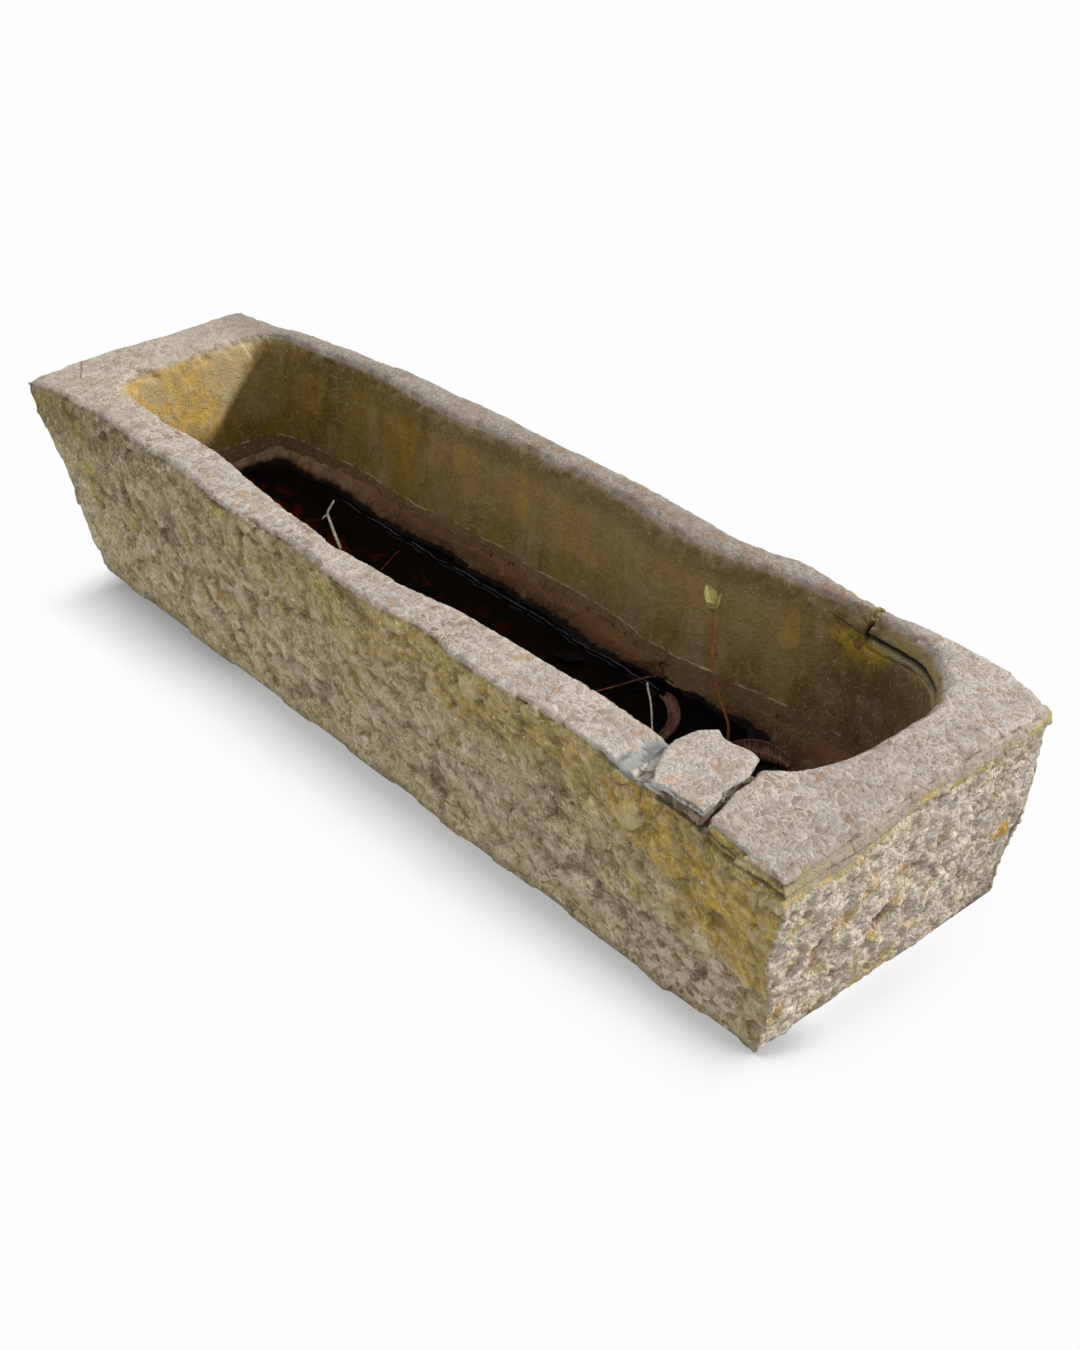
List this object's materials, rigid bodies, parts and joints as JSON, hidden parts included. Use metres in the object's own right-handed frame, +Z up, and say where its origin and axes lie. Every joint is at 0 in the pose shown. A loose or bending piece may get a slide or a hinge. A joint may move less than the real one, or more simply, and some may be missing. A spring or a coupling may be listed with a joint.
{
  "type": "stone water trough",
  "caption": "Long hand-hewn stone trough with battered ends, a hollow rounded at one end, a split rim bed with a loose flake, and mud, water and litter inside.",
  "frame": {"origin": "middle of the flat underside, on the ground", "axes": "+X along the trough to the end with the rounded hollow, -Y to the near long side, +Z up"},
  "size_m": [2.0061, 0.5673, 0.3807],
  "materials": {
    "hewn_limestone": "matte",
    "rim_limestone": "matte",
    "brown_limestone": "matte",
    "mud": "matte",
    "dark_water": "gloss",
    "pale_wood": "matte",
    "red_wood": "satin",
    "dry_leaf": "matte",
    "bark": "matte",
    "wet_leaf": "satin",
    "red_stem": "satin",
    "young_leaf": "satin"
  },
  "bodies": {
    "trough": {"trough_block": "hewn_limestone", "end_rim_slab": "rim_limestone", "flake_lamina": "brown_limestone", "silt_bed": "mud", "standing_water": "dark_water", "forked_twig": "pale_wood", "root_thread": "red_wood", "red_twig": "red_wood", "pale_stick": "pale_wood", "curled_leaf": "dry_leaf", "bark_curl": "bark", "wet_leaf_1": "wet_leaf", "wet_leaf_2": "wet_leaf", "wet_leaf_3": "wet_leaf", "wet_leaf_4": "wet_leaf", "wet_leaf_5": "wet_leaf", "wet_leaf_6": "wet_leaf", "wet_leaf_7": "wet_leaf", "seedling_stem": "red_stem", "side_leaf_1": "young_leaf", "side_leaf_2": "young_leaf", "top_leaf_1": "young_leaf", "top_leaf_2": "young_leaf", "top_leaf_3": "young_leaf"},
    "flake": {"loose_flake": "rim_limestone"}
  },
  "joints": [
    {"name": "flake_lift", "type": "slide", "parent": "trough", "child": "flake", "axis": [0, 0, 1], "range_m": [0, 0.12]}
  ]
}
